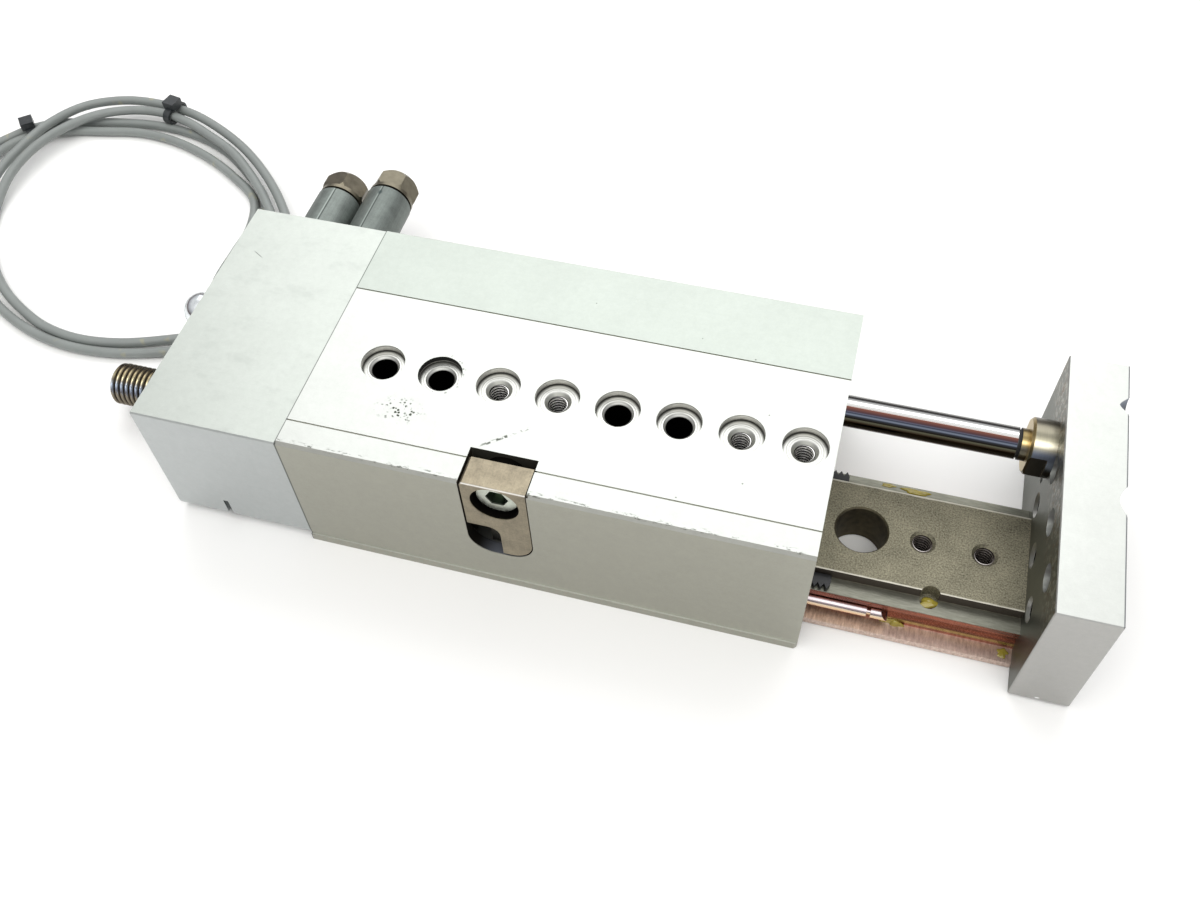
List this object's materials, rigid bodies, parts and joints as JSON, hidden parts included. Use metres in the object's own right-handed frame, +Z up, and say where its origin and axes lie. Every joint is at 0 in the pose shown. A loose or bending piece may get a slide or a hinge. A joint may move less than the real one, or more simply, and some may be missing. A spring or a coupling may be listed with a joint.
{
  "type": "pneumatic slide table",
  "caption": "Air-driven slide table: aluminium cylinder body over a crossed-roller guide, with a sliding steel rail, front plate and rod run out together.",
  "frame": {"origin": "on the base face, under the joint between body and rear block, midway across the body", "axes": "+X along the stroke, outward; +Z up from the base face; +Y towards the piston rod side and the air fittings"},
  "size_m": [0.4208, 0.1521, 0.0425],
  "materials": {
    "anodised_body": "satin anodised",
    "anodised_rear": "satin anodised",
    "anodised_plate": "satin anodised",
    "dark_screws": "black oxide",
    "ground_steel": "ground",
    "polished_cage": "polished",
    "roller_steel": "polished",
    "black_plastic": "matt",
    "blasted_steel": "blasted, ground on its ledges",
    "chromed_rod": "mirror",
    "piston_alloy": "turned",
    "seal_rubber": "matt",
    "magnet": "plastic-bonded",
    "bearing_bronze": "turned",
    "stop_steel": "hardened, tempered",
    "zinc_screw": "zinc-plated",
    "nickel_thread": "nickel-plated",
    "zinc_fitting": "zinc-plated",
    "nickel_cap": "nickel-plated",
    "cable_grey": "satin PVC",
    "tie_black": "satin nylon"
  },
  "bodies": {
    "housing": {"housing": "anodised_body", "rear_block": "anodised_rear", "rear_screws": "dark_screws", "rail_left": "ground_steel", "rail_right": "ground_steel", "rail_screws": "dark_screws", "bearing_cap": "bearing_bronze", "rod_seal": "seal_rubber", "cap_circlip": "dark_screws", "stop_block": "stop_steel", "stop_block_screw": "zinc_screw", "shock_absorber": "nickel_thread", "rear_plug": "zinc_screw", "fitting_front": "zinc_fitting", "fitting_rear": "zinc_fitting", "fitting_seals": "seal_rubber", "fitting_cap_front": "nickel_cap", "fitting_cap_rear": "nickel_cap", "sensor_a": "black_plastic", "sensor_b": "black_plastic", "cable_bushings": "seal_rubber", "cable_a": "cable_grey", "cable_b": "cable_grey", "coil_a": "cable_grey", "coil_b": "cable_grey", "cable_tie_1": "tie_black", "cable_tie_2": "tie_black"},
    "slide": {"slide_rail": "blasted_steel", "front_plate": "anodised_plate", "plate_screws": "dark_screws", "rod_screw": "dark_screws", "piston_rod": "chromed_rod", "piston": "piston_alloy", "piston_seals": "seal_rubber", "piston_magnet": "magnet", "stop_plate": "stop_steel", "stop_plate_screws": "dark_screws"},
    "cage_left": {"cage_left": "polished_cage", "rollers_left": "roller_steel", "comb_left": "black_plastic"},
    "cage_right": {"cage_right": "polished_cage", "rollers_right": "roller_steel", "comb_right": "black_plastic"},
    "shock_plunger": {"shock_plunger": "chromed_rod"}
  },
  "joints": [
    {"name": "slide_travel", "type": "slide", "parent": "housing", "child": "slide", "axis": [1, 0, 0], "range_m": [-0.05, 0]},
    {"name": "cage_left_travel", "type": "slide", "parent": "housing", "child": "cage_left", "axis": [1, 0, 0], "range_m": [-0.025, 0]},
    {"name": "cage_right_travel", "type": "slide", "parent": "housing", "child": "cage_right", "axis": [1, 0, 0], "range_m": [-0.025, 0]},
    {"name": "shock_plunger_travel", "type": "slide", "parent": "housing", "child": "shock_plunger", "axis": [1, 0, 0], "range_m": [-0.008, 0], "stiffness_N_per_m": 300, "springref_m": 0.004}
  ],
  "couplings": [
    {"joint": "cage_left_travel", "follows": "slide_travel", "ratio": 0.5},
    {"joint": "cage_right_travel", "follows": "slide_travel", "ratio": 0.5}
  ]
}
